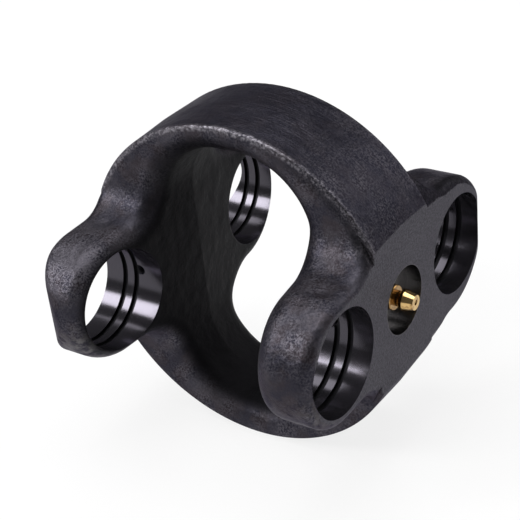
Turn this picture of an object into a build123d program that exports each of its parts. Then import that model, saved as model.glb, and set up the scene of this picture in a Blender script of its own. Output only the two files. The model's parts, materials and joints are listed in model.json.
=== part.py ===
from build123d import *
import os
from math import radians, sqrt, tan

os.makedirs("parts", exist_ok=True)

# Forged centre yoke of a double universal joint, in millimetres. X is the axis of the bearing bores,
# Y the axis of the ring, Z is up, and the origin is the centre of the ring.
ring_radius = 54.0
flat_inset = 6.0
ring_width = 31.5
outer_draft = 1.5

# The ring's band stands proud of the ears, more so at the front.
front_step = 1.4
rear_step = 0.7

# Walls around the passage through the ring, measured at the parting plane in the ring's middle.
ear_thickness = 23.75
band_thickness = 10.8
passage_end_flat = 6.0
inner_draft = 6.0

# Ears, a pair on each side of the ring, with a bearing bore through each pair.
bore_spacing = 69.4
bore_radius = 16.0
front_ear_wall = 3.4
rear_nose_wall = 2.8
rear_ear_wall = 6.8
front_neck_land = 8.0
rear_neck_land = 1.0

# Grooves for the rings that hold the bearing cups, counted from the flats to each groove's middle.
groove_depth = 0.9
groove_width = 1.9
outer_groove_inset = 7.4
inner_groove_inset = 11.8

# Rounded edges of the forging. Seen from above, the noses are cut by arcs that start past their tips.
right_nose_radius = 7.0
left_nose_land = 1.8
nose_overrun = 0.8
flat_edge_radius = 3.0
rim_edge_radius = 0.6
rim_land = 1.2

# Round recess in the right flat, the hole for the fitting, and the grease drillings into the bores.
recess_radius = 10.5
recess_depth = 5.0
fitting_hole_depth = 14.0
drilling_radius = 1.7
drilling_inset = 13.5
drilling_slope = 0.3

# Brass grease fitting, driven into its hole up to the collar.
shank_radius = 3.0
shank_length = 6.5
collar_radius = 3.9
collar_height = 2.2
waist_radius = 2.4
waist_height = 1.4
head_radius = 3.3
head_flank = 0.9
head_land = 0.9
tip_radius = 2.3
tip_height = 3.2
fitting_edge = 0.25
grease_way_radius = 1.35
mouth_radius = 0.8
mouth_wall = 0.7
crimp_radius = 0.7
crimp_height = 0.6

# Steel ball and its spring inside the fitting.
ball_radius = 1.15
seat_clearance = 0.05
wire_radius = 0.16
spring_radius = 0.85
spring_turns = 6

half_width = ring_radius - flat_inset
width_over_flats = 2 * half_width
half_spacing = bore_spacing / 2
half_ring = ring_width / 2
front_ear_radius = bore_radius + front_ear_wall
rear_ear_radius = bore_radius + rear_ear_wall
front_tip = half_spacing + front_ear_radius
rear_tip = half_spacing + bore_radius + rear_nose_wall
rear_ear_center = rear_tip - rear_ear_radius
front_neck_radius = half_spacing - half_ring - front_neck_land
rear_neck_radius = rear_ear_center - half_ring - rear_neck_land
outline_margin = 10.0
outline_half_length = front_tip + outline_margin
outline_half_height = ring_radius + outline_margin
outer_slope = tan(radians(outer_draft))
band_edge_radius = ring_radius - half_ring * outer_slope
end_loss = (outline_half_length - half_ring) * outer_slope
front_disc_radius = band_edge_radius - front_step
rear_disc_radius = band_edge_radius - rear_step
passage_width = width_over_flats - 2 * ear_thickness
passage_height = 2 * (ring_radius - band_thickness)
passage_corner_radius = (passage_width - passage_end_flat) / 2
rim_wall = band_edge_radius - passage_height / 2 - half_ring * tan(radians(inner_draft))
mouth_edge_radius = rim_wall - rim_edge_radius - rim_land
left_nose_radius = ear_thickness - mouth_edge_radius - left_nose_land
recess_floor = half_width - recess_depth

with BuildPart() as yoke:
    # Seen from above: a block over the flats with the ears' noses rounded at its corners.
    with BuildSketch(Plane.XY) as plan_outline:
        with Locations((0, (rear_tip - front_tip) / 2)):
            Rectangle(width_over_flats, front_tip + rear_tip + 2 * nose_overrun)
        fillet(plan_outline.vertices().group_by(Axis.X)[0], left_nose_radius)
        fillet(plan_outline.vertices().group_by(Axis.X)[-1], right_nose_radius)
    extrude(amount=outline_half_height, both=True)

    # Seen from the side: a band for the ring, ears with round noses, and hollow necks between them.
    with BuildSketch(Plane.YZ.offset(-half_width)) as side_outline:
        Rectangle(ring_width, 2 * outline_half_height)
        Rectangle(half_spacing, 2 * front_ear_radius, align=(Align.MAX, Align.CENTER))
        Rectangle(rear_ear_center, 2 * rear_ear_radius, align=(Align.MIN, Align.CENTER))
        with Locations((-half_spacing, 0)):
            Circle(front_ear_radius)
        with Locations((rear_ear_center, 0)):
            Circle(rear_ear_radius)
        front_corners = side_outline.vertices().filter_by(lambda corner: corner.X < 0)
        fillet(front_corners.group_by(SortBy.DISTANCE)[0], front_neck_radius)
        rear_corners = side_outline.vertices().filter_by(lambda corner: corner.X > 0)
        fillet(rear_corners.group_by(SortBy.DISTANCE)[0], rear_neck_radius)
    extrude(amount=width_over_flats, mode=Mode.INTERSECT)
    flat_edges = yoke.edges(Select.NEW).filter_by(Axis.X, reverse=True)
    fillet(flat_edges.filter_by(lambda edge: abs(edge.center().Z) < outline_half_height), flat_edge_radius)

    # The ring's round outline, drafted both ways from the parting plane in its middle.
    with BuildSketch(Plane.XY) as ring_profile:
        with BuildLine():
            Polyline(
                (0, -outline_half_length),
                (front_disc_radius - end_loss, -outline_half_length),
                (front_disc_radius, -half_ring),
                (band_edge_radius, -half_ring),
                (ring_radius, 0),
                (band_edge_radius, half_ring),
                (rear_disc_radius, half_ring),
                (rear_disc_radius - end_loss, outline_half_length),
                (0, outline_half_length),
                close=True,
            )
        make_face()
        fillet(ring_profile.vertices().group_by(Axis.X)[-2], rim_edge_radius)
    revolve(axis=Axis.Y, mode=Mode.INTERSECT)

    # The passage through the ring narrows from both ends to a ridge at the parting plane.
    with BuildSketch(Plane.XZ) as passage_outline:
        RectangleRounded(passage_width, passage_height, passage_corner_radius)
    extrude(amount=outline_half_length, both=True, taper=-inner_draft, mode=Mode.SUBTRACT)
    fillet(yoke.edges(Select.NEW), mouth_edge_radius)

    # Bearing bores and their ring grooves.
    with Locations((0, -half_spacing, 0), (0, half_spacing, 0)):
        Cylinder(bore_radius, width_over_flats, rotation=(0, 90, 0), mode=Mode.SUBTRACT)
    for inset in (outer_groove_inset, inner_groove_inset):
        with GridLocations(2 * (half_width - inset), bore_spacing, 2, 2):
            Cylinder(bore_radius + groove_depth, groove_width, rotation=(0, 90, 0), mode=Mode.SUBTRACT)

    # Recess in the right flat, with the hole that the fitting is driven into.
    with BuildSketch(Plane.YZ.offset(recess_floor)):
        Circle(recess_radius)
    extrude(amount=recess_depth, mode=Mode.SUBTRACT)
    with BuildSketch(Plane.YZ.offset(recess_floor)):
        Circle(shank_radius)
    extrude(amount=-fitting_hole_depth, mode=Mode.SUBTRACT)

    # Slanting drillings that lead from the middle of each side to its two bores.
    drilling_start = half_width - drilling_inset - drilling_slope * (half_spacing - bore_radius)
    for side in (-1, 1):
        for end in (-1, 1):
            way = Plane((side * drilling_start, 0, 0), z_dir=(side * drilling_slope, end, 0))
            with BuildSketch(way):
                Circle(drilling_radius)
            extrude(amount=half_spacing, mode=Mode.SUBTRACT)

yoke.part.label = "yoke"
export_step(yoke.part, "parts/yoke.step")

# The fitting's stations along its axis, outwards from the recess floor.
shank_end = recess_floor - shank_length
waist_start = recess_floor + collar_height
head_start = waist_start + waist_height
land_start = head_start + head_flank
land_end = land_start + head_land
tip = land_end + tip_height
seat_end = tip - mouth_wall
seat_start = seat_end - (grease_way_radius - mouth_radius)

with BuildPart() as grease_fitting:
    with BuildSketch(Plane.XY) as fitting_section:
        with BuildLine():
            Polyline(
                (shank_end, crimp_radius),
                (shank_end, shank_radius - fitting_edge),
                (shank_end + fitting_edge, shank_radius),
                (recess_floor, shank_radius),
                (recess_floor, collar_radius),
                (waist_start - fitting_edge, collar_radius),
                (waist_start, collar_radius - fitting_edge),
                (waist_start, waist_radius),
                (head_start, waist_radius),
                (land_start, head_radius),
                (land_end, head_radius),
                (tip, tip_radius),
                (tip, mouth_radius),
                (seat_end, mouth_radius),
                (seat_start, grease_way_radius),
                (shank_end + crimp_height, grease_way_radius),
                (shank_end + crimp_height, crimp_radius),
                close=True,
            )
        make_face()
    revolve(axis=Axis.X)

grease_fitting.part.label = "grease_fitting"
export_step(grease_fitting.part, "parts/grease_fitting.step")

# The ball stands just clear of its conical seat, whose sides lie at 45 degrees to the axis.
ball_center = seat_end + mouth_radius - sqrt(2) * (ball_radius + seat_clearance)

with BuildPart() as check_ball:
    with Locations((ball_center, 0, 0)):
        Sphere(ball_radius)

check_ball.part.label = "check_ball"
export_step(check_ball.part, "parts/check_ball.step")

# The spring stands on the crimped end and carries the ball on its last turn.
spring_bottom = shank_end + crimp_height + wire_radius + seat_clearance
ball_to_wire = sqrt((ball_radius + wire_radius + seat_clearance) ** 2 - spring_radius**2)
spring_height = ball_center - ball_to_wire - spring_bottom

with BuildPart() as check_spring:
    with BuildLine() as coil:
        Helix(spring_height / spring_turns, spring_height, spring_radius, (spring_bottom, 0, 0), (1, 0, 0))
    with BuildSketch(Plane(coil.line @ 0, z_dir=coil.line % 0)):
        Circle(wire_radius)
    sweep(path=coil.line, is_frenet=True)

check_spring.part.label = "check_spring"
export_step(check_spring.part, "parts/check_spring.step")
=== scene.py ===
"""Looks of a forged centre yoke with a brass grease fitting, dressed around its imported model."""

import json
import logging
import math
from dataclasses import dataclass
from enum import Enum
from typing import Any, Optional, Union

import bpy
import numpy as np
from mathutils import Matrix, Vector

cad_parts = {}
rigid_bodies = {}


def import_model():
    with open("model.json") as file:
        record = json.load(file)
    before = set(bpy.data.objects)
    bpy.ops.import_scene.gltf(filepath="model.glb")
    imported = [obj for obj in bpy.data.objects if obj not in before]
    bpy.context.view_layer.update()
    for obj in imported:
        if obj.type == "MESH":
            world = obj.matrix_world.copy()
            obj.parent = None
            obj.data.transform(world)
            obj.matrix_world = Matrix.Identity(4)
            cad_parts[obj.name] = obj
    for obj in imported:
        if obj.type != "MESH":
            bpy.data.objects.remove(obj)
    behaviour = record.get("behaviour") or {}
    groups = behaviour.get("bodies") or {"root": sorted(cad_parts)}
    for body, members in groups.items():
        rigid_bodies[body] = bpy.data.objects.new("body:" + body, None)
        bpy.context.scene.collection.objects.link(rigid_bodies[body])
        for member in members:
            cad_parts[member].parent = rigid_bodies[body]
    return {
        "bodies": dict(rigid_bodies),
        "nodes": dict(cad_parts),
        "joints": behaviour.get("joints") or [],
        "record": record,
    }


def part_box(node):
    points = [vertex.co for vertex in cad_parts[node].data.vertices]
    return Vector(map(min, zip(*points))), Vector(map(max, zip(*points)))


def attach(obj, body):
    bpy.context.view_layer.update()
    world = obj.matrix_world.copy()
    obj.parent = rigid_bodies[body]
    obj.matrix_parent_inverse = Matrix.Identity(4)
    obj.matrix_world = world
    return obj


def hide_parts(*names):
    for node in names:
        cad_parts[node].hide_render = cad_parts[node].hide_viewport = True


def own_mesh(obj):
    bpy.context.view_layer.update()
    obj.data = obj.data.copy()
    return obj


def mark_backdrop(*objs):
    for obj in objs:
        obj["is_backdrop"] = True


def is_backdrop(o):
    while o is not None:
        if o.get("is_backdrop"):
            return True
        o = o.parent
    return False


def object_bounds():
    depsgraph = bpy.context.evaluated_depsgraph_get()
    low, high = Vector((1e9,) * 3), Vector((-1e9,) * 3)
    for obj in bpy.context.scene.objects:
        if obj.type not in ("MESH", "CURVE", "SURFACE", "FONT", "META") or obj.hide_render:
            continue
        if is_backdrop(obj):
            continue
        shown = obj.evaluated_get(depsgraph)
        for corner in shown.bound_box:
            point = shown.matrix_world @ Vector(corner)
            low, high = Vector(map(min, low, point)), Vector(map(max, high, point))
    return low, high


log = logging.getLogger("scene")

MM = 0.001
WELD = 1e-6
SHORTEST = 1e-12
CONVEXITY = "convexity"
NOISE_MIDDLE = 0.5
EDGE_SAMPLES = 4
MIX_SHARE = 0
MIX_FIRST = 6
MIX_SECOND = 7
MIX_RESULT = 2

Value = Union["Sock", float]
Colour = tuple[float, float, float]
Range = tuple[float, float]

WHITE: Colour = (1.0, 1.0, 1.0)


class Body(Enum):
    """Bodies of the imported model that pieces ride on."""

    YOKE = "yoke_body"
    BALL = "ball_body"


class Slot(Enum):
    """Material slots of the record."""

    FORGED = "forged_steel"
    BRASS = "fitting_brass"
    BEARING = "bearing_steel"
    SPRING = "spring_steel"


class Node(Enum):
    """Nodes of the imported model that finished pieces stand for."""

    YOKE = "yoke"
    FITTING = "grease_fitting"
    BALL = "check_ball"
    SPRING = "check_spring"


class Op(Enum):
    """Math node operations that the shaders use."""

    ADD = "ADD"
    SUBTRACT = "SUBTRACT"
    MULTIPLY = "MULTIPLY"
    ABSOLUTE = "ABSOLUTE"
    MINIMUM = "MINIMUM"
    MAXIMUM = "MAXIMUM"
    SQRT = "SQRT"
    ARCTAN2 = "ARCTAN2"


@dataclass(frozen=True)
class Grain:
    """Size and make of a noise.

    Attributes:
        size: Size of its features, in the units of the place that it is laid over.
        detail: Number of finer layers.
        rough: Strength of the finer layers.
    """

    size: float
    detail: float = 2.0
    rough: float = 0.5


class Sock:
    """A node socket that takes part in sums, each operator adding one Math node."""

    def __init__(self, graph: "Graph", socket: bpy.types.NodeSocket) -> None:
        """Wraps one output socket of a graph's node."""
        self.graph = graph
        self.socket = socket

    def __add__(self, other: Value) -> "Sock":
        """Adds a socket or a number."""
        return self.graph.math(Op.ADD, self, other)

    def __radd__(self, other: Value) -> "Sock":
        """Adds to a number."""
        return self.graph.math(Op.ADD, other, self)

    def __sub__(self, other: Value) -> "Sock":
        """Takes away a socket or a number."""
        return self.graph.math(Op.SUBTRACT, self, other)

    def __rsub__(self, other: Value) -> "Sock":
        """Takes away from a number."""
        return self.graph.math(Op.SUBTRACT, other, self)

    def __mul__(self, other: Value) -> "Sock":
        """Multiplies by a socket or a number."""
        return self.graph.math(Op.MULTIPLY, self, other)

    def __rmul__(self, other: Value) -> "Sock":
        """Multiplies a number."""
        return self.graph.math(Op.MULTIPLY, other, self)

    def __abs__(self) -> "Sock":
        """Gives the size without its sign."""
        return self.graph.math(Op.ABSOLUTE, self)

    def at_most(self, other: Value) -> "Sock":
        """Gives the lower of two values."""
        return self.graph.math(Op.MINIMUM, self, other)

    def at_least(self, other: Value) -> "Sock":
        """Gives the higher of two values."""
        return self.graph.math(Op.MAXIMUM, self, other)

    def root(self) -> "Sock":
        """Gives the square root."""
        return self.graph.math(Op.SQRT, self)

    def rise(self, low: float, high: float) -> "Sock":
        """Climbs smoothly from 0 to 1 between two values.

        Args:
            low: Value at which the result is still 0.
            high: Value from which the result is 1.

        Returns:
            The smooth step.
        """
        values = {"Value": self, "From Min": low, "From Max": high}
        node = self.graph.node("ShaderNodeMapRange", {"interpolation_type": "SMOOTHSTEP"}, values)
        return Sock(self.graph, node.outputs["Result"])

    def fall(self, low: float, high: float) -> "Sock":
        """Drops smoothly from 1 to 0 between two values."""
        return 1 - self.rise(low, high)


class Graph:
    """A node tree that is being written."""

    def __init__(self, tree: bpy.types.NodeTree) -> None:
        """Takes over a tree and empties it."""
        self.tree = tree
        tree.nodes.clear()

    def node(
        self,
        kind: str,
        settings: Optional[dict[str, Any]] = None,
        inputs: Optional[dict[Union[str, int], Any]] = None,
    ) -> bpy.types.Node:
        """Adds a node, sets it up and feeds its sockets.

        Args:
            kind: Name of the node's type.
            settings: Properties of the node, set before its sockets.
            inputs: Values, sockets or wrapped sockets, by socket name or number.

        Returns:
            The new node.
        """
        made = self.tree.nodes.new(kind)
        for name, value in (settings or {}).items():
            setattr(made, name, value)
        for name, value in (inputs or {}).items():
            socket = made.inputs[name]
            if isinstance(value, Sock):
                self.tree.links.new(value.socket, socket)
            elif isinstance(value, bpy.types.NodeSocket):
                self.tree.links.new(value, socket)
            else:
                socket.default_value = value
        return made

    def math(self, op: Op, *terms: Value) -> Sock:
        """Adds a Math node.

        Args:
            op: What the node does.
            terms: Its values or sockets, in order.

        Returns:
            The result.
        """
        node = self.node("ShaderNodeMath", {"operation": op.value}, dict(enumerate(terms)))
        return Sock(self, node.outputs["Value"])

    def vector(self, x: Value, y: Value, z: Value) -> Sock:
        """Puts three values together as a vector."""
        node = self.node("ShaderNodeCombineXYZ", None, {"X": x, "Y": y, "Z": z})
        return Sock(self, node.outputs["Vector"])

    def noise(self, place: Sock, grain: Grain) -> Sock:
        """Lays noise over a place vector.

        Args:
            place: The vector, in millimetres or as it has been stretched.
            grain: Size and make of the noise.

        Returns:
            The noise, around its middle value.
        """
        values = {"Vector": place, "Scale": 1 / grain.size, "Detail": grain.detail, "Roughness": grain.rough}
        node = self.node("ShaderNodeTexNoise", {"noise_dimensions": "3D"}, values)
        return Sock(self, node.outputs["Fac"])

    def cells(self, place: Sock, spacing: float) -> Sock:
        """Gives the distance to scattered points, in shares of their spacing."""
        node = self.node("ShaderNodeTexVoronoi", {"feature": "F1"}, {"Vector": place, "Scale": 1 / spacing})
        return Sock(self, node.outputs["Distance"])

    def shown(self) -> Sock:
        """Finds what the camera sees.

        Returns:
            1 where the camera looks, straight on, in a mirror or through glass.
        """
        path = self.node("ShaderNodeLightPath")
        rays = [Sock(self, path.outputs[f"Is {ray} Ray"]) for ray in ("Camera", "Glossy", "Transmission")]
        return rays[0].at_least(rays[1]).at_least(rays[2])

    def blend(self, share: Value, first: Any, second: Any) -> Sock:
        """Mixes two colours.

        Args:
            share: Share of the second colour.
            first: Colour or socket shown at 0.
            second: Colour or socket shown at 1.

        Returns:
            The mixed colour.
        """
        settings = {"data_type": "RGBA", "clamp_factor": True}
        values = {MIX_SHARE: share, MIX_FIRST: tone(first), MIX_SECOND: tone(second)}
        return Sock(self, self.node("ShaderNodeMix", settings, values).outputs[MIX_RESULT])


def tone(colour: Any) -> Any:
    """Makes a colour fit for a socket.

    Args:
        colour: A colour or a socket.

    Returns:
        The colour with an alpha, or the socket as it is.
    """
    if isinstance(colour, Sock):
        return colour
    return (*colour, 1.0)


def linked(name: str, data: bpy.types.ID) -> bpy.types.Object:
    """Makes an object and links it to the scene.

    Args:
        name: Name of the object.
        data: Its mesh, light or camera.

    Returns:
        The object.
    """
    made = bpy.data.objects.new(name, data)
    bpy.context.scene.collection.objects.link(made)
    return made


class Surface(Graph):
    """The node tree of one material."""

    def __init__(self, name: str) -> None:
        """Makes an empty material.

        Args:
            name: Name of the material.
        """
        self.material = bpy.data.materials.new(name)
        self.material.use_nodes = True
        super().__init__(self.material.node_tree)

    def place(self) -> tuple[Sock, Sock, Sock, Sock]:
        """Finds the place on the object.

        Returns:
            The place in millimetres, as a vector and as its three parts.
        """
        coordinates = self.node("ShaderNodeTexCoord").outputs["Object"]
        values = {"Vector": coordinates, "Scale": 1 / MM}
        scaled = self.node("ShaderNodeVectorMath", {"operation": "SCALE"}, values).outputs["Vector"]
        parts = self.node("ShaderNodeSeparateXYZ", None, {"Vector": scaled})
        return Sock(self, scaled), *(Sock(self, parts.outputs[axis]) for axis in "XYZ")

    def attribute(self, name: str) -> Sock:
        """Reads a number that the mesh carries."""
        node = self.node("ShaderNodeAttribute", {"attribute_name": name})
        return Sock(self, node.outputs["Fac"])

    def bump(self, height: Sock, normal: Optional[Sock] = None) -> Sock:
        """Turns a height into a normal.

        Args:
            height: Height in millimetres.
            normal: Normal that the bump is laid over.

        Returns:
            The new normal.
        """
        values: dict[Union[str, int], Any] = {"Strength": 1.0, "Distance": MM, "Height": height}
        if normal is not None:
            values["Normal"] = normal
        return Sock(self, self.node("ShaderNodeBump", None, values).outputs["Normal"])

    def rounded(self, radius: Sock) -> Sock:
        """Gives normals that turn softly over edges, with a radius in millimetres."""
        node = self.node("ShaderNodeBevel", {"samples": EDGE_SAMPLES}, {"Radius": radius * MM})
        return Sock(self, node.outputs["Normal"])

    def finish(self, **inputs: Any) -> bpy.types.Material:
        """Closes the material with a Principled shader.

        Args:
            inputs: Values or sockets, by socket name with underscores for spaces.

        Returns:
            The material.
        """
        values = {name.replace("_", " "): value for name, value in inputs.items()}
        shader = self.node("ShaderNodeBsdfPrincipled", None, values)
        self.node("ShaderNodeOutputMaterial", None, {"Surface": shader.outputs["BSDF"]})
        return self.material


@dataclass(frozen=True)
class SkinPattern:
    """Noises that the layers of the forging's finish share.

    They are fine grit, broad patches, slow lumps, the wobble of the flats' edges, and streaks drawn around
    the ring, so many for each radian around it and for each millimetre across and into it.
    """

    grit: Grain = Grain(0.6, 3.0, 0.65)
    patch: Grain = Grain(13.0, 4.0, 0.6)
    lump: Grain = Grain(5.0, 3.0)
    wobble: Grain = Grain(1.6)
    streak: Grain = Grain(1.0, 3.0, 0.6)
    streak_turn: float = 1.5
    streak_side: float = 3.0
    streak_depth: float = 0.2


@dataclass(frozen=True)
class FaceEdges:
    """Where the finishes of the forging's faces start and end, in millimetres past the faces' own sizes.

    The flats' edges stray by the wobble. The right is the way from the middle of the yoke to its right side,
    where a share of the drawn streaks is lost.
    """

    bore: Range = (0.01, 0.05)
    groove_side: Range = (-0.02, 0.02)
    groove_mouth: Range = (0.02, 0.08)
    groove_floor: Range = (0.2, 0.3)
    flat: Range = (-0.14, -0.06)
    flat_wobble: float = 0.22
    seat: Range = (-0.1, -0.05)
    recess: Range = (0.05, 0.12)
    band_end: Range = (-2.0, 0.0)
    band_top: Range = (-2.5, -1.5)
    hollow: Range = (0.1, 3.0)
    right: Range = (0.0, 36.0)
    drawn_right: float = 0.65


class YokeSurface(Surface):
    """The forging's material, with shared noises, measures in millimetres and places.

    A place is 1 on the faces that it names and 0 elsewhere.
    """

    def __init__(self, yoke: "Yoke", pattern: SkinPattern, edges: FaceEdges) -> None:
        """Measures out the faces.

        Args:
            yoke: The forging, for the sizes of its faces.
            pattern: The shared noises.
            edges: Where the faces start and end.
        """
        super().__init__("forged_skin")
        self.spot, self.x, self.y, self.z = self.place()
        self.reach = abs(self.x)
        self.aside = abs(self.y)
        self.from_axis = (self.y * self.y + self.z * self.z).root()
        radius = (self.x * self.x + self.z * self.z).root()
        self.past_end = self.aside - yoke.half_ring_width
        self.past_ring = radius - yoke.ring_radius
        self.behind_front = self.y + yoke.half_ring_width
        self.convexity = self.attribute(CONVEXITY)
        self.grit = self.noise(self.spot, pattern.grit)
        self.patch = self.noise(self.spot, pattern.patch)
        self.lump = self.noise(self.spot, pattern.lump)
        turn = self.math(Op.ARCTAN2, self.x, self.z) * pattern.streak_turn
        drawn = self.vector(turn, self.y * pattern.streak_side, radius * pattern.streak_depth)
        self.streak = self.noise(drawn, pattern.streak)
        self.mark_machined(yoke, edges, self.noise(self.spot, pattern.wobble))
        self.mark_forged(yoke, edges)

    def mark_machined(self, yoke: "Yoke", edges: FaceEdges, wobble: Sock) -> None:
        """Finds the bores, ring grooves, flats and recess, and the skin between them.

        Args:
            yoke: The forging.
            edges: Where the faces start and end.
            wobble: Noise that the flats' edges stray with.
        """
        beside = self.aside - yoke.half_spacing
        past_bore = (beside * beside + self.z * self.z).root() - yoke.bore_radius
        self.bored = past_bore.fall(*edges.bore)
        outer, inner = (
            abs(self.reach - (yoke.half_width - inset)) - yoke.groove_half_width
            for inset in (yoke.outer_groove, yoke.inner_groove)
        )
        cuts = outer.fall(*edges.groove_side) + inner.fall(*edges.groove_side)
        cuts = cuts * past_bore.rise(*edges.groove_mouth)
        self.grooved = cuts * (past_bore - yoke.groove_depth).fall(*edges.groove_floor)
        past_flat = self.reach - yoke.half_width - (wobble - NOISE_MIDDLE) * edges.flat_wobble
        self.flat = past_flat.rise(*edges.flat) * (1 - self.bored)
        past_seat = self.x - (yoke.half_width - yoke.recess_depth)
        past_recess = self.from_axis - yoke.recess_radius
        self.recess = past_seat.rise(*edges.seat) * past_recess.fall(*edges.recess)
        self.skin = 1 - (self.flat + self.recess + self.bored + self.grooved).at_most(1.0)

    def mark_forged(self, yoke: "Yoke", edges: FaceEdges) -> None:
        """Finds the ring's band, with its drawn part and its right side, and the hollow inside the ring.

        Args:
            yoke: The forging.
            edges: Where the faces start and end.
        """
        self.right = self.x.rise(*edges.right)
        self.band = self.past_end.fall(*edges.band_end) * self.past_ring.rise(*edges.band_top)
        self.drawn = self.band * (1 - self.right * edges.drawn_right)
        side = (self.reach - yoke.core_width).at_least(0.0)
        top = (abs(self.z) - yoke.core_height).at_least(0.0)
        corner = (side * side + top * top).root()
        self.past_passage = corner - yoke.core_radius - self.aside * yoke.core_slope
        self.hollow = self.past_passage.fall(*edges.hollow)


@dataclass(frozen=True)
class RubbedEdgesAndLipSheen:
    """Metal that shows where the skin's edges are rubbed, and a painted highlight on the ring's rubbed lips.

    The turn is a convexity per millimetre. A lip starts at distances past the ring's end and largest radius,
    its rubbing and painted highlight grow with the height, and shares of them are lost at the right and
    towards the rear. The other ranges are parts of noises, and the least shares are rubbed where a noise is
    low.
    """

    turn: Range = (0.10, 0.45)
    turn_patch: Range = (0.36, 0.58)
    chafe_lump: Range = (0.38, 0.60)
    chafe_grit: Range = (0.40, 0.60)
    chafe_least: float = 0.45
    lip_end: Range = (-1.9, -0.4)
    lip_top: Range = (-2.6, -1.2)
    lip_heights: Range = (-30.0, 25.0)
    lip_right: float = 0.45
    lip_sides: Range = (-10.0, 10.0)
    lip_rear: float = 0.6
    lip_patch: Range = (0.24, 0.44)
    fret: Grain = Grain(1.2, 4.0, 0.7)
    fret_range: Range = (0.40, 0.64)
    fret_least: float = 0.10

    def share(self, s: YokeSurface) -> Sock:
        """Finds the rubbed places and the lips' painted highlight.

        Args:
            s: The forging's material.

        Returns:
            1 on rubbed metal and on the painted highlight, and 0 on whole scale.
        """
        chafed = self.chafe_least + s.grit.rise(*self.chafe_grit) * (1 - self.chafe_least)
        chafed = s.lump.rise(*self.chafe_lump) * chafed
        edge = s.convexity.rise(*self.turn) * s.patch.rise(*self.turn_patch) * chafed
        # Painted highlight on the ring's lips, laid over their rubbing: brighter higher up, less at the
        # right and rear.
        lip = s.past_end.rise(*self.lip_end) * s.past_ring.rise(*self.lip_top)
        lip = lip * s.z.rise(*self.lip_heights) * s.patch.rise(*self.lip_patch)
        lip = lip * (1 - s.right * self.lip_right) * (1 - s.y.rise(*self.lip_sides) * self.lip_rear)
        fretted = s.noise(s.spot, self.fret).rise(*self.fret_range)
        return edge.at_least(lip * (self.fret_least + fretted * (1 - self.fret_least)))


@dataclass(frozen=True)
class GrainsAndEarSheen:
    """Lighter grains of the scale, calmer on the ring's band and drawn out along it.

    The contrast is how much the grains stand out: everywhere, in coarse places and at the right of the band.
    The band lacks a share of them and regains some at the right, and the broad patches have more of them. On
    the ears they paint sheen and floor reflection: fewer at the middle of their height and more towards
    their top and bottom.
    """

    grit_range: Range = (0.36, 0.66)
    coarse: Grain = Grain(8.0)
    coarse_range: Range = (0.38, 0.62)
    contrast: float = 0.25
    coarse_contrast: float = 0.85
    band_contrast: float = 0.7
    band_loss: float = 0.72
    band_regain: float = 0.22
    patch_range: Range = (0.35, 0.65)
    patch_least: float = 0.35
    patch_gain: float = 0.80
    ear_sides: Range = (24.0, 36.0)
    ear_heights: Range = (3.0, 16.0)
    ear_loss: float = 0.30
    ear_gain: float = 0.75
    streak_range: Range = (0.45, 0.75)
    streak_share: float = 0.45

    def share(self, s: YokeSurface) -> Sock:
        """Finds the light grains, which also paint sheen and floor reflection on the ears.

        Args:
            s: The forging's material.

        Returns:
            1 on a light grain and 0 between them.
        """
        coarse = s.noise(s.spot, self.coarse).rise(*self.coarse_range)
        contrast = self.contrast + coarse * self.coarse_contrast + s.band * s.right * self.band_contrast
        grains = NOISE_MIDDLE + (s.grit.rise(*self.grit_range) - NOISE_MIDDLE) * contrast
        grains = grains * (1 - s.band * (self.band_loss - s.right * self.band_regain))
        grains = grains * (self.patch_least + s.patch.rise(*self.patch_range) * self.patch_gain)
        # Painted sheen and floor reflection on the ears: more light grains towards their top and bottom,
        # fewer at the middle.
        ear_sheen_and_reflection = abs(s.z).rise(*self.ear_heights) * self.ear_gain - self.ear_loss
        grains = grains * (1 + s.aside.rise(*self.ear_sides) * ear_sheen_and_reflection)
        return grains + s.drawn * s.streak.rise(*self.streak_range) * self.streak_share


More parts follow.
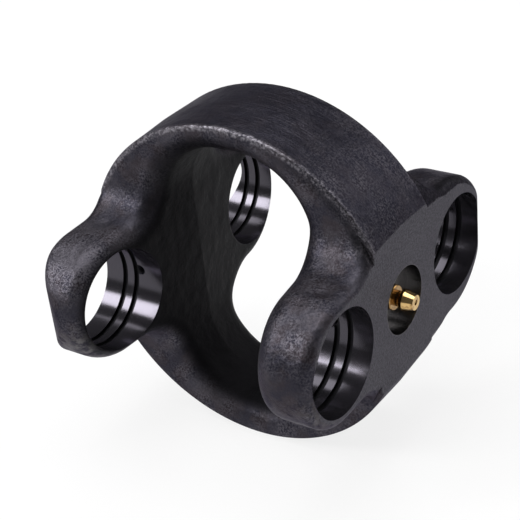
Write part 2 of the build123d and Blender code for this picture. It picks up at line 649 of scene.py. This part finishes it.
@dataclass(frozen=True)
class MottleAndPaintedShade:
    """Pale mottling low on the ears, and painted shade in corners, inside the ring and under its lips.

    The pale mottling fades upwards and from left to right. Painted shade lies in hollow corners, by their
    turn per millimetre, on the brow of the ring's mouth, by the distance from the passage's wall, and at the
    foot of a lip as its painted shadow, by distances past the ring's end, largest radius and front end.
    Distances are in millimetres.
    """

    pale_mottle: Grain = Grain(3.5, 4.0, 0.65)
    mottle_range: Range = (0.40, 0.62)
    mottle_sides: Range = (30.0, 40.0)
    mottle_heights: Range = (-12.0, 2.0)
    mottle_share: float = 0.85
    mottle_reach: Range = (-30.0, 30.0)
    mottle_right: float = 0.55
    corner_turn: Range = (-0.30, -0.06)
    corner_share: float = 0.7
    brow_depth: Range = (1.0, 7.0)
    brow_heights: Range = (8.0, 28.0)
    brow_reach: Range = (-4.0, 18.0)
    brow_share: float = 0.85
    foot_end: Range = (-0.3, 0.2)
    foot_top: Range = (-6.0, -3.2)
    foot_heights: Range = (0.0, 16.0)
    foot_front: Range = (-5.0, -0.8)
    foot_share: float = 0.8

    def low_pale_mottle(self, s: YokeSurface) -> Sock:
        """Finds the pale mottling, lighter towards the bottom of the ears.

        Args:
            s: The forging's material.

        Returns:
            Its strength.
        """
        # Pale mottling, lighter towards the bottom of the ears and fainter to the right.
        pale_mottle = s.noise(s.spot, self.pale_mottle).rise(*self.mottle_range)
        pale_mottle = pale_mottle * s.aside.rise(*self.mottle_sides) * s.z.fall(*self.mottle_heights)
        return pale_mottle * (self.mottle_share - s.x.rise(*self.mottle_reach) * self.mottle_right)

    def painted_shade_share(self, s: YokeSurface, rubbed_and_sheen: Sock) -> Sock:
        """Finds the painted shade.

        Args:
            s: The forging's material.
            rubbed_and_sheen: The rubbed places and the lips' painted highlight, which take no painted shadow
                under a lip.

        Returns:
            Its strength.
        """
        # Painted shade: darker in hollow corners, on the brow of the ring's mouth, inside the ring, and as a
        # shadow at the foot of a lip.
        corner = s.convexity.fall(*self.corner_turn) * self.corner_share
        brow = s.past_passage.fall(*self.brow_depth) * s.z.rise(*self.brow_heights)
        brow = brow * s.x.fall(*self.brow_reach) * self.brow_share
        foot = s.past_end.rise(*self.foot_end) * s.past_ring.rise(*self.foot_top)
        foot = foot * s.z.rise(*self.foot_heights) * s.behind_front.rise(*self.foot_front)
        foot = foot * s.right * self.foot_share * (1 - rubbed_and_sheen)
        return s.hollow.at_least(corner).at_least(brow).at_least(foot)


@dataclass(frozen=True)
class ForgedSkin:
    """Black scale of the forging.

    The colours are blue-black scale, browner scale, lighter grains that also paint sheen and floor
    reflection on the ears, pale mottling, rubbed metal that also paints a highlight on the ring's lips, and
    painted shade. The roughness varies over the broad patches, is lower on rubbed metal and on the lips'
    painted highlight, and higher inside the ring. A mirror share is what mirrors as metal does. Depths, the
    pits' spacing and the edges' radius are in millimetres, and a pit's rim is in shares of the spacing.
    """

    dark: Colour = (0.0196, 0.0190, 0.0276)
    warm: Colour = (0.0305, 0.0248, 0.0288)
    grain: Colour = (0.098, 0.092, 0.107)
    # Colour of the pale mottling low on the ears.
    pale_mottle: Colour = (0.190, 0.184, 0.182)
    # Colour of rubbed metal, also used for the painted highlight on the ring's lips.
    rubbed_and_sheen: Colour = (0.300, 0.285, 0.315)
    # Colour of the painted shade.
    painted_shade: Colour = (0.0060, 0.0058, 0.0066)
    hue: Grain = Grain(7.0, 3.0, 0.6)
    hue_range: Range = (0.42, 0.62)
    band_cool: float = 0.7
    rubbed_and_sheen_share: float = 0.85
    roughness: float = 0.43
    patch_rough: float = 0.16
    bare_rough: float = 0.06
    hollow_rough: float = 0.15
    mirror: float = 0.75
    hollow_mirror: float = 0.35
    grit_depth: float = 0.10
    lump_depth: float = 0.6
    streak_depth: float = 0.12
    pit_spacing: float = 3.1
    pit_range: Range = (0.02, 0.10)
    pit_depth: float = 0.05
    edge_radius: float = 1.0
    rubbing_and_lip_sheen: RubbedEdgesAndLipSheen = RubbedEdgesAndLipSheen()
    grains: GrainsAndEarSheen = GrainsAndEarSheen()
    mottle_and_shade: MottleAndPaintedShade = MottleAndPaintedShade()

    def colour(self, s: YokeSurface, rubbed_and_sheen: Sock) -> Sock:
        """Lays the scale's colours over each other.

        Args:
            s: The forging's material.
            rubbed_and_sheen: The rubbed places and the lips' painted highlight.

        Returns:
            The colour of the skin.
        """
        brown = s.noise(s.spot, self.hue).rise(*self.hue_range) * (1 - s.band * self.band_cool)
        scale = s.blend(brown, self.dark, self.warm)
        # Light grains, which also paint sheen and floor reflection on the ears.
        scale = s.blend(self.grains.share(s), scale, self.grain)
        # Pale mottling, lighter towards the bottom of the ears.
        scale = s.blend(self.mottle_and_shade.low_pale_mottle(s), scale, self.pale_mottle)
        # Rubbed metal, with the painted highlight on the ring's lips.
        scale = s.blend(rubbed_and_sheen * self.rubbed_and_sheen_share, scale, self.rubbed_and_sheen)
        # Painted shade in corners, inside the ring and under the lips, laid over all the other colours.
        return s.blend(self.mottle_and_shade.painted_shade_share(s, rubbed_and_sheen), scale, self.painted_shade)

    def gloss(self, s: YokeSurface, rubbed_and_sheen: Sock) -> Sock:
        """Gives the skin's roughness, smoother where it is rubbed and on the lips' painted highlight, and
        rougher inside the ring.
        """
        varied = self.roughness + (s.patch - NOISE_MIDDLE) * self.patch_rough
        return varied - rubbed_and_sheen * self.bare_rough + s.hollow * self.hollow_rough

    def metal(self, s: YokeSurface, rubbed_and_sheen: Sock) -> Sock:
        """Gives the share of the skin that mirrors as metal does."""
        return self.mirror + (self.hollow_mirror - self.mirror) * s.hollow + rubbed_and_sheen

    def relief(self, s: YokeSurface) -> Sock:
        """Raises the skin's grit, waves and streaks, and sinks its pits.

        Args:
            s: The forging's material.

        Returns:
            The height in millimetres.
        """
        pits = s.cells(s.spot, self.pit_spacing).rise(*self.pit_range) - 1
        waves = (s.grit - NOISE_MIDDLE) * self.grit_depth + (s.lump - NOISE_MIDDLE) * self.lump_depth
        return waves + pits * self.pit_depth + s.drawn * (s.streak - NOISE_MIDDLE) * self.streak_depth


@dataclass(frozen=True)
class MachinedSteel:
    """Ground flats, oiled bores with their ring grooves, and the turned recess.

    The flats go from dark to light with their ground grain and the broad patches. A mirror share is what
    mirrors as metal does. Turning marks are counted for each millimetre along and across a bore and in the
    recess, and the depths are the heights of the marks in millimetres.
    """

    flat_dark: Colour = (0.036, 0.035, 0.040)
    flat_light: Colour = (0.130, 0.126, 0.140)
    bore_tone: Colour = (0.068, 0.064, 0.075)
    # Near-black painted shade in the ring grooves.
    groove_painted_shade: Colour = (0.008, 0.008, 0.009)
    recess_tone: Colour = (0.22, 0.216, 0.212)
    sanding: Grain = Grain(0.65, 3.0, 0.7)
    sanding_range: Range = (0.36, 0.66)
    sanding_share: float = 0.6
    stain_share: float = 0.3
    flat_roughness: float = 0.42
    bore_roughness: float = 0.16
    bore_varied: float = 0.05
    recess_roughness: float = 0.24
    flat_mirror: float = 0.6
    bore_mirror: float = 0.78
    turning: Grain = Grain(1.0)
    bore_along: float = 9.0
    bore_across: float = 0.05
    bore_depth: float = 0.004
    flat_depth: float = 0.16
    recess_pitch: float = 1.5
    recess_depth: float = 0.02

    def colour(self, s: YokeSurface, skin: Sock) -> Sock:
        """Lays the machined faces' colours over the skin's.

        Args:
            s: The forging's material.
            skin: Colour of the skin.

        Returns:
            The colour of the whole forging.
        """
        clean = s.noise(s.spot, self.sanding).rise(*self.sanding_range) * self.sanding_share
        flats = s.blend(s.patch * self.stain_share + clean, self.flat_dark, self.flat_light)
        shade = s.blend(s.flat, skin, flats)
        shade = s.blend(s.recess, shade, self.recess_tone)
        shade = s.blend(s.bored, shade, self.bore_tone)
        # Painted shade: the ring grooves are coloured near black.
        return s.blend(s.grooved, shade, self.groove_painted_shade)

    def gloss(self, s: YokeSurface, skin: Sock) -> Sock:
        """Lays the machined faces' roughness over the skin's.

        Args:
            s: The forging's material.
            skin: Roughness of the skin.

        Returns:
            The roughness of the whole forging.
        """
        bores = self.bore_roughness + (s.streak - NOISE_MIDDLE) * self.bore_varied
        gloss = skin * (1 - s.flat) + s.flat * self.flat_roughness
        gloss = gloss * (1 - s.recess) + s.recess * self.recess_roughness
        return gloss * (1 - s.bored) + s.bored * bores

    def metal(self, s: YokeSurface) -> Sock:
        """Gives the share of the machined faces that mirrors as metal does, and 0 on the skin."""
        return s.bored * self.bore_mirror + s.flat * self.flat_mirror + s.recess

    def relief(self, s: YokeSurface) -> Sock:
        """Raises the tool marks.

        Args:
            s: The forging's material.

        Returns:
            The height in millimetres, 0 on the skin.
        """
        bore_place = s.vector(s.x * self.bore_along, s.y * self.bore_across, s.z * self.bore_across)
        recess_place = s.vector(s.from_axis * self.recess_pitch, s.x * self.recess_pitch, 0.0)
        bores = s.bored * (s.noise(bore_place, self.turning) - NOISE_MIDDLE) * self.bore_depth
        flats = s.flat * (s.grit - NOISE_MIDDLE) * self.flat_depth
        recess = s.recess * (s.noise(recess_place, self.turning) - NOISE_MIDDLE) * self.recess_depth
        return bores + flats + recess


@dataclass(frozen=True)
class ForgedSteel:
    """The forging's whole finish: black skin with machined flats, bores and recess.

    The shine is that of what isn't metal, and its tint also colours metal seen edge-on.
    """

    skin: ForgedSkin = ForgedSkin()
    machined: MachinedSteel = MachinedSteel()
    pattern: SkinPattern = SkinPattern()
    edges: FaceEdges = FaceEdges()
    shine: float = 0.25
    shine_tint: Colour = (0.36, 0.34, 0.40)

    def material(self, yoke: "Yoke") -> bpy.types.Material:
        """Builds the finish.

        Args:
            yoke: The forging, for the places of its faces.

        Returns:
            The material.
        """
        s = YokeSurface(yoke, self.pattern, self.edges)
        rubbed_and_sheen = self.skin.rubbing_and_lip_sheen.share(s)
        metal = self.machined.metal(s) + s.skin * self.skin.metal(s, rubbed_and_sheen)
        relief = self.skin.relief(s) * s.skin + self.machined.relief(s)
        return s.finish(
            Base_Color=self.machined.colour(s, self.skin.colour(s, rubbed_and_sheen)),
            Roughness=self.machined.gloss(s, self.skin.gloss(s, rubbed_and_sheen)),
            Metallic=metal.at_most(1.0),
            Specular_IOR_Level=self.shine,
            Specular_Tint=tone(self.shine_tint),
            Normal=s.bump(relief, s.rounded(s.skin * self.skin.edge_radius)),
        )


@dataclass(frozen=True)
class TurnedBrass:
    """Turned brass of the grease fitting, bright at its head, with old grease and painted shade in the
    recess.

    Patches of old grease dull it, and the painted shade is full up to a reach from the middle of the yoke,
    in millimetres. Turning marks are counted for each millimetre along and across the fitting, and their
    depth is in millimetres.
    """

    bright: Colour = (0.62, 0.42, 0.18)
    dull: Colour = (0.27, 0.155, 0.058)
    roughness: float = 0.11
    film_rough: float = 0.12
    film: Grain = Grain(1.4, 3.0, 0.6)
    film_range: Range = (0.45, 0.75)
    shade_reach: Range = (44.5, 49.0)
    shade_share: float = 0.8
    turning: Grain = Grain(1.0)
    tool_along: float = 12.0
    tool_across: float = 0.1
    tool_depth: float = 0.006

    def material(self) -> bpy.types.Material:
        """Builds the finish.

        Returns:
            The material.
        """
        s = Surface("turned_brass")
        place, x, y, z = s.place()
        marks = s.vector(x * self.tool_along, y * self.tool_across, z * self.tool_across)
        tool = s.noise(marks, self.turning) - NOISE_MIDDLE
        old_grease_and_shade = s.noise(place, self.film).rise(*self.film_range)
        # Painted shade: the brass turns dull deep in the recess, on top of the patches of old grease.
        old_grease_and_shade = (old_grease_and_shade + x.fall(*self.shade_reach) * self.shade_share).at_most(1.0)
        return s.finish(
            Base_Color=s.blend(old_grease_and_shade, self.bright, self.dull),
            Roughness=self.roughness + old_grease_and_shade * self.film_rough,
            Metallic=1.0,
            Normal=s.bump(tool * self.tool_depth),
        )


@dataclass(frozen=True)
class BrightSteel:
    """Plain bright steel under a thin film of oil, which also varies its roughness."""

    name: str
    clean: Colour
    oiled: Colour
    roughness: float
    film: Grain = Grain(0.6)
    film_range: Range = (0.4, 0.7)
    film_rough: float = 0.1

    def material(self) -> bpy.types.Material:
        """Builds the finish.

        Returns:
            The material.
        """
        s = Surface(self.name)
        film = s.noise(s.place()[0], self.film)
        return s.finish(
            Base_Color=s.blend(film.rise(*self.film_range), self.clean, self.oiled),
            Roughness=self.roughness + (film - NOISE_MIDDLE) * self.film_rough,
            Metallic=1.0,
        )


@dataclass(frozen=True)
class PaleFloor:
    """Matt pale paper that takes a shadow, with a share of plain white in what the camera sees."""

    colour: Colour = (0.93, 0.93, 0.93)
    whitening: float = 0.82

    def material(self) -> bpy.types.Material:
        """Builds the finish.

        Returns:
            The material.
        """
        s = Surface("pale_floor")
        paper = s.node("ShaderNodeBsdfDiffuse", None, {"Color": tone(self.colour)}).outputs["BSDF"]
        glow = s.node("ShaderNodeEmission", None, {"Color": tone(WHITE), "Strength": 1.0})
        white = glow.outputs["Emission"]
        mixed = s.node("ShaderNodeMixShader", None, {0: s.shown() * self.whitening, 1: paper, 2: white})
        s.node("ShaderNodeOutputMaterial", None, {"Surface": mixed.outputs["Shader"]})
        return s.material


@dataclass(frozen=True)
class CadCopy:
    """A welded copy of one CAD node, with the body that it rides on, and a material slot that is not used.
    """

    node: Node
    body: Body
    slot: Slot

    def build(self, frame: dict[str, Any]) -> bpy.types.Object:
        """Makes the copy, with the node's exact normals and its convexity.


        Returns:
            The new object, linked to the scene.
        """
        source = frame["nodes"][self.node.value].data
        points = np.zeros(len(source.vertices) * 3)
        source.vertices.foreach_get("co", points)
        points = points.reshape(-1, 3)
        corners = np.zeros(len(source.loops), int)
        source.loops.foreach_get("vertex_index", corners)
        normals = np.zeros(len(source.loops) * 3)
        source.corner_normals.foreach_get("vector", normals)
        normals = normals.reshape(-1, 3, 3)
        _, first, index = np.unique(
            np.round(points / WELD), axis=0, return_index=True, return_inverse=True
        )
        triangles = index.reshape(-1)[corners].reshape(-1, 3)
        whole = (triangles != np.roll(triangles, 1, axis=1)).all(axis=1)
        triangles = triangles[whole]
        normals = normals[whole]
        name = self.node.value + "_finished"
        mesh = bpy.data.meshes.new(name)
        mesh.from_pydata(points[first].tolist(), [], triangles.tolist())
        mesh.shade_smooth()
        mesh.normals_split_custom_set(normals.reshape(-1, 3).tolist())
        self.mark_convexity(mesh, points[first], triangles, normals)
        piece = linked(name, mesh)
        log.info("%s: %d points welded to %d", name, len(points), len(first))
        return piece

    @staticmethod
    def mark_convexity(
        mesh: bpy.types.Mesh, points: np.ndarray, triangles: np.ndarray, normals: np.ndarray
    ) -> None:
        """Stores how sharply the surface turns outwards at each point, per millimetre.

        Args:
            mesh: Mesh that takes the attribute.
            points: Its points.
            triangles: Its triangles.
            normals: Normals of the triangles' corners.
        """
        total = np.zeros(len(points))
        weight = np.zeros(len(points))
        for a, b in ((0, 1), (1, 2), (2, 0)):
            start = triangles[:, a]
            end = triangles[:, b]
            along = points[end] - points[start]
            length = np.linalg.norm(along, axis=1)
            turn = ((normals[:, b] - normals[:, a]) * along).sum(axis=1) / length**2 * MM
            for index in (start, end):
                np.add.at(total, index, turn * length)
                np.add.at(weight, index, length)
        stored = mesh.attributes.new(CONVEXITY, "FLOAT", "POINT")
        stored.data.foreach_set("value", (total / np.maximum(weight, SHORTEST)).astype(np.float32))

    def dress(self, piece: bpy.types.Object, material: bpy.types.Material) -> bpy.types.Object:
        """Gives a piece its finish and its place in the frame.

        Args:
            piece: The piece that stands for the node.
            material: Its finish.

        Returns:
            The piece.
        """
        if not piece.data.materials:
            piece.data.materials.append(material)
        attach(piece, self.body.value)
        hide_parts(self.node.value)
        return piece


@dataclass
class Yoke:
    """The forging, with the places of its machined faces in millimetres.

    Attributes:
        half_width, half_spacing: From the middle to each flat, and to each bore axis.
        bore_radius, ring_radius: Radius of the bearing bores, and largest radius of the ring.
        half_ring_width: From the middle to the ends of the ring's band.
        outer_groove, inner_groove: From each flat to the middles of its two ring grooves.
        groove_half_width, groove_depth: Half the width of a groove with a little to spare, and its depth.
        recess_radius, recess_depth: Radius and depth of the round recess in the right flat.
        core_width, core_height: From the middle of the passage to its corners' centres, across and upwards.
        core_radius, core_slope: Radius of those corners at the parting plane, and how much the passage
            widens for each millimetre from it.
    """

    half_width: float
    half_spacing: float
    bore_radius: float
    ring_radius: float
    half_ring_width: float = 15.75
    outer_groove: float = 7.4
    inner_groove: float = 11.8
    groove_half_width: float = 0.97
    groove_depth: float = 0.9
    recess_radius: float = 10.5
    recess_depth: float = 5.0
    core_width: float = 3.0
    core_height: float = 21.95
    core_radius: float = 21.25
    core_slope: float = 0.105

    @classmethod
    def measured(cls, frame: dict[str, Any]) -> "Yoke":
        """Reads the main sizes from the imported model.


        Returns:
            The yoke.
        """
        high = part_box(Node.YOKE.value)[1]
        bores = next(mount for mount in frame["record"]["mounts"] if mount["name"] == "rear_bores")
        return cls(
            half_width=high.x / MM,
            half_spacing=bores["pos_m"][1] / MM,
            bore_radius=bores["dims"]["r_mm"],
            ring_radius=high.z / MM,
        )

    def build(self, frame: dict[str, Any]) -> bpy.types.Object:
        copy = CadCopy(Node.YOKE, Body.YOKE, Slot.FORGED)
        return copy.dress(copy.build(frame), ForgedSteel().material(self))


@dataclass
class GreaseFitting:
    """The brass fitting with its check ball and spring, sizes in millimetres.

    Attributes:
        coil_radius, wire_radius: Radius of the spring at the middle of its wire, and of the wire.
        turns, turn_steps, wire_sides: Number of turns, steps along each turn and sides of the wire.
        slide: Name of the joint that the ball moves on.
        ball_steel, wire_steel: Finishes of the ball and of the spring.
    """

    coil_radius: float = 0.85
    wire_radius: float = 0.16
    turns: float = 6.0
    turn_steps: int = 32
    wire_sides: int = 12
    slide: str = "ball_slide"
    ball_steel: BrightSteel = BrightSteel("bearing_ball", (0.62, 0.62, 0.63), (0.45, 0.43, 0.40), 0.12)
    wire_steel: BrightSteel = BrightSteel("spring_wire", (0.42, 0.41, 0.40), (0.26, 0.25, 0.24), 0.3)

    def build(self, frame: dict[str, Any]) -> list[bpy.types.Object]:
        """Makes and dresses the fitting, its ball and its spring.


        Returns:
            The finished pieces.
        """
        shell = CadCopy(Node.FITTING, Body.YOKE, Slot.BRASS)
        ball = CadCopy(Node.BALL, Body.BALL, Slot.BEARING)
        spring = CadCopy(Node.SPRING, Body.YOKE, Slot.SPRING)
        wire = self.wire_steel.material()
        pieces = [
            shell.dress(shell.build(frame), TurnedBrass().material()),
            ball.dress(ball.build(frame), self.ball_steel.material()),
            spring.dress(self.coil(wire), wire),
        ]
        self.press(pieces[-1], frame)
        return pieces

    def press(self, piece: bpy.types.Object, frame: dict[str, Any]) -> None:
        """Works out the share of the spring's length that stays as the ball is pushed in, which is not used,
        and gives the spring a mesh of its own.

        Args:
            piece: The finished spring.
        """
        joints = frame["record"]["behaviour"]["joints"]
        slide = next(joint for joint in joints if joint["name"] == self.slide)
        low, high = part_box(Node.SPRING.value)
        keep = 1 - max(slide["range_m"]) / (high.x - low.x)
        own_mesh(piece)

    def coil(self, material: bpy.types.Material) -> bpy.types.Object:
        """Winds the spring with a node tree and makes it a plain mesh.

        Args:
            material: Finish of the wire.

        Returns:
            The new object, linked to the scene.
        """
        low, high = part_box(Node.SPRING.value)
        wire = self.wire_radius * MM
        sizes = {
            "Bottom": low.x + wire,
            "Length": high.x - low.x - 2 * wire,
            "Coil Radius": self.coil_radius * MM,
            "Wire Radius": wire,
            "Turns": self.turns,
            "Turn Steps": self.turn_steps,
            "Wire Sides": self.wire_sides,
            "Wire Finish": material,
        }
        tree = self.coil_tree()
        name = Node.SPRING.value + "_finished"
        piece = linked(name, bpy.data.meshes.new(name))
        winding = piece.modifiers.new("winding", "NODES")
        winding.node_group = tree
        for socket in tree.interface.items_tree:
            if socket.in_out == "INPUT":
                winding[socket.identifier] = sizes[socket.name]
        wound = piece.evaluated_get(bpy.context.evaluated_depsgraph_get())
        mesh = bpy.data.meshes.new_from_object(wound)
        piece.modifiers.remove(winding)
        piece.data = mesh
        mesh.name = name
        log.info("%s: %d faces wound", name, len(mesh.polygons))
        return piece

    @staticmethod
    def coil_tree() -> bpy.types.NodeTree:
        """Builds the tree that winds a wire around the X axis.

        Returns:
            The tree, with the coil's sizes as its inputs.
        """
        tree = bpy.data.node_groups.new("wire_coil", "GeometryNodeTree")
        g = Graph(tree)
        tree.interface.new_socket("Coil", in_out="OUTPUT", socket_type="NodeSocketGeometry")
        for name in ("Bottom", "Length", "Coil Radius", "Wire Radius", "Turns"):
            tree.interface.new_socket(name, in_out="INPUT", socket_type="NodeSocketFloat")
        for name in ("Turn Steps", "Wire Sides"):
            tree.interface.new_socket(name, in_out="INPUT", socket_type="NodeSocketInt")
        tree.interface.new_socket("Wire Finish", in_out="INPUT", socket_type="NodeSocketMaterial")
        size = g.node("NodeGroupInput").outputs
        path = g.node(
            "GeometryNodeCurveSpiral",
            None,
            {
                "Resolution": size["Turn Steps"],
                "Rotations": size["Turns"],
                "Start Radius": size["Coil Radius"],
                "End Radius": size["Coil Radius"],
                "Height": size["Length"],
                "Reverse": True,
            },
        )
        section = g.node(
            "GeometryNodeCurvePrimitiveCircle",
            {"mode": "RADIUS"},
            {"Resolution": size["Wire Sides"], "Radius": size["Wire Radius"]},
        )
        wire = g.node(
            "GeometryNodeCurveToMesh",
            None,
            {"Curve": path.outputs["Curve"], "Profile Curve": section.outputs["Curve"], "Fill Caps": True},
        )
        placed = g.node(
            "GeometryNodeTransform",
            None,
            {
                "Geometry": wire.outputs["Mesh"],
                "Translation": g.vector(Sock(g, size["Bottom"]), 0.0, 0.0),
                "Rotation": (math.pi, -math.pi / 2, 0.0),
            },
        )
        smooth = g.node("GeometryNodeSetShadeSmooth", None, {"Geometry": placed.outputs["Geometry"]})
        real = g.node("GeometryNodeRealizeInstances", None, {"Geometry": smooth.outputs["Geometry"]})
        painted = g.node(
            "GeometryNodeSetMaterial",
            None,
            {"Geometry": real.outputs["Geometry"], "Material": size["Wire Finish"]},
        )
        g.node("NodeGroupOutput", None, {"Coil": painted.outputs["Geometry"]})
        return tree


@dataclass(frozen=True)
class Softbox:
    """A square soft light that faces the object, its place and size in metres and its power in watts."""

    name: str
    place: tuple[float, float, float]
    size: float
    power: float

    def build(self) -> bpy.types.Object:
        """Hangs the light.

        Returns:
            The light.
        """
        data = bpy.data.lights.new(self.name, "AREA")
        data.shape = "SQUARE"
        data.size = self.size
        data.energy = self.power
        light = linked(self.name, data)
        light.location = self.place
        light.rotation_mode = "QUATERNION"
        light.rotation_quaternion = (-light.location).to_track_quat("-Z", "Y")
        return light


@dataclass
class Studio:
    """Camera, pale floor and soft lights.

    Attributes:
        azimuth, elevation, roll: Camera's turns about the vertical, above the horizon and about its own
            axis, in degrees.
        distance, shift: Camera's distance from its aim, and its shift right and up, in metres.
        focal, picture: Focal length and width of the picture, in pixels.
        sensor: Width of the sensor in millimetres.
        sight: Nearest and farthest distance that the camera sees, in metres.
        floor_half: From the middle of the floor to its sides, in metres.
        room_level: Strength of the room's even light.
        haze_height, haze_level: Sine of the angle at which the floor's white has faded above the horizon,
            and its strength at the horizon.
        softboxes: The lights.
    """

    azimuth: float = 36.31
    elevation: float = 30.95
    roll: float = -6.48
    distance: float = 0.41984
    focal: float = 1367.5
    picture: float = 520.0
    shift: tuple[float, float] = (-0.00178, 0.00139)
    sensor: float = 36.0
    sight: Range = (0.01, 20.0)
    floor_half: float = 6.0
    room_level: float = 0.12
    haze_height: float = 0.10
    haze_level: float = 0.84
    softboxes: tuple[Softbox, ...] = (
        Softbox("left_softbox", (-0.87, -0.87, 0.84), 0.52, 12.5),
        Softbox("top_softbox", (-0.18, 0.14, 1.85), 1.7, 32.0),
        Softbox("back_softbox", (0.90, 1.26, 0.90), 1.0, 8.0),
    )

    def camera(self) -> bpy.types.Object:
        """Sets up the camera as the photograph was taken.

        Returns:
            The camera.
        """
        turn, tilt, roll = (math.radians(angle) for angle in (self.azimuth, self.elevation, self.roll))
        back = Vector((math.sin(turn) * math.cos(tilt), -math.cos(turn) * math.cos(tilt), math.sin(tilt)))
        right = Vector((math.cos(turn), math.sin(turn), 0))
        up = back.cross(right)
        side = right * math.cos(roll) + up * math.sin(roll)
        top = up * math.cos(roll) - right * math.sin(roll)
        data = bpy.data.cameras.new("camera")
        data.sensor_width = self.sensor
        data.lens = self.sensor * self.focal / self.picture
        data.clip_start, data.clip_end = self.sight
        camera = linked("camera", data)
        eye = back * self.distance + side * self.shift[0] + top * self.shift[1]
        camera.matrix_world = Matrix.Translation(eye) @ Matrix((side, top, back)).transposed().to_4x4()
        bpy.context.scene.camera = camera
        return camera

    def floor(self, height: float) -> bpy.types.Object:
        """Lays the pale floor.

        Args:
            height: Level of the floor in metres.

        Returns:
            The floor.
        """
        half = self.floor_half
        corners = [(x, y, height) for x, y in ((-half, -half), (half, -half), (half, half), (-half, half))]
        mesh = bpy.data.meshes.new("floor")
        mesh.from_pydata(corners, [], [(0, 1, 2, 3)])
        mesh.materials.append(PaleFloor().material())
        floor = linked("floor", mesh)
        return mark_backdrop(floor)

    def room(self) -> bpy.types.World:
        """Lights the room evenly, with the floor's white fading out above the horizon.

        Returns:
            The room's world.
        """
        world = bpy.data.worlds.new("room")
        world.use_nodes = True
        g = Graph(world.node_tree)
        direction = g.node("ShaderNodeTexCoord").outputs["Generated"]
        rise = Sock(g, g.node("ShaderNodeSeparateXYZ", None, {"Vector": direction}).outputs["Z"])
        haze = rise.fall(0.0, self.haze_height) * g.shown()
        level = self.room_level + haze * (self.haze_level - self.room_level)
        even = g.node("ShaderNodeBackground", None, {"Color": tone(WHITE), "Strength": level})
        g.node("ShaderNodeOutputWorld", None, {"Surface": even.outputs["Background"]})
        bpy.context.scene.world = world
        return world

    def build(self, floor_level: float) -> None:
        """Sets up the whole studio.

        Args:
            floor_level: Level of the floor in metres.
        """
        bpy.context.scene.view_settings.view_transform = "Standard"
        self.camera()
        self.floor(floor_level)
        self.room()
        for softbox in self.softboxes:
            softbox.build()


def main() -> None:
    """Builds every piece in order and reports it."""
    logging.basicConfig(level=logging.INFO)
    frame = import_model()
    cad_low, cad_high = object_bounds()
    pieces = [Yoke.measured(frame).build(frame), *GreaseFitting().build(frame)]
    for piece in pieces:
        log.info("%s: dressed, %d faces", piece.name, len(piece.data.polygons))
    Studio().build(cad_low.z)


if __name__ == "__main__":
    main()
